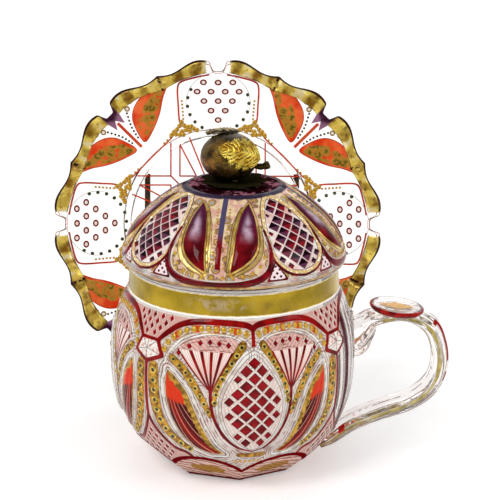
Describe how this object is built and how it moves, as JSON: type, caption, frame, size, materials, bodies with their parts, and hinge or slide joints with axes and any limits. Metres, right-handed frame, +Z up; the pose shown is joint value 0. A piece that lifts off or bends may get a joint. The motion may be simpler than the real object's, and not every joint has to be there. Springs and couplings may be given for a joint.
{
  "type": "covered cup with saucer",
  "caption": "Cut glass cup with one handle and a domed cover with a fruit finial; its scalloped saucer leans on a wire easel behind it.",
  "frame": {"origin": "centre of the cup's flat base, on the table", "axes": "+Z up along the cup's axis; +X along the cup's handle; the front of the display faces -Y"},
  "size_m": [0.1895, 0.2049, 0.1655],
  "materials": {
    "cut_glass": "clear cut glass with ruby stain and gilding",
    "clear_glass": "clear polished glass with red and gilt lines",
    "ruby_glass": "clear glass cased in dark ruby, cut through, with gilding",
    "dark_bronze": "worn gilt bronze, darkened in the hollows",
    "gilt_bronze": "bright gilding over chased bronze",
    "brass": "plain turned brass",
    "easel_wire": "dark lacquered wire"
  },
  "bodies": {
    "cup": {"cup_body": "cut_glass", "handle": "clear_glass", "easel_upright_left": "easel_wire", "easel_ledge_left": "easel_wire", "easel_leg_left": "easel_wire", "easel_upright_right": "easel_wire", "easel_ledge_right": "easel_wire", "easel_leg_right": "easel_wire", "easel_crossbar_lower": "easel_wire", "easel_crossbar_upper": "easel_wire"},
    "cover": {"cover_dome": "ruby_glass", "finial_calyx": "dark_bronze", "finial_fruit": "dark_bronze", "finial_leaf_front": "gilt_bronze", "finial_leaf_back": "gilt_bronze", "finial_stalk": "dark_bronze", "finial_stud": "brass", "finial_washer": "brass", "finial_nut": "brass"},
    "saucer": {"saucer": "clear_glass"}
  },
  "joints": [
    {"name": "cover_lift", "type": "slide", "parent": "cup", "child": "cover", "axis": [0, 0, 1], "range_m": [0, 0.06]},
    {"name": "saucer_lift", "type": "slide", "parent": "cup", "child": "saucer", "axis": [0, 0.2419, 0.9703], "range_m": [0, 0.04]}
  ]
}
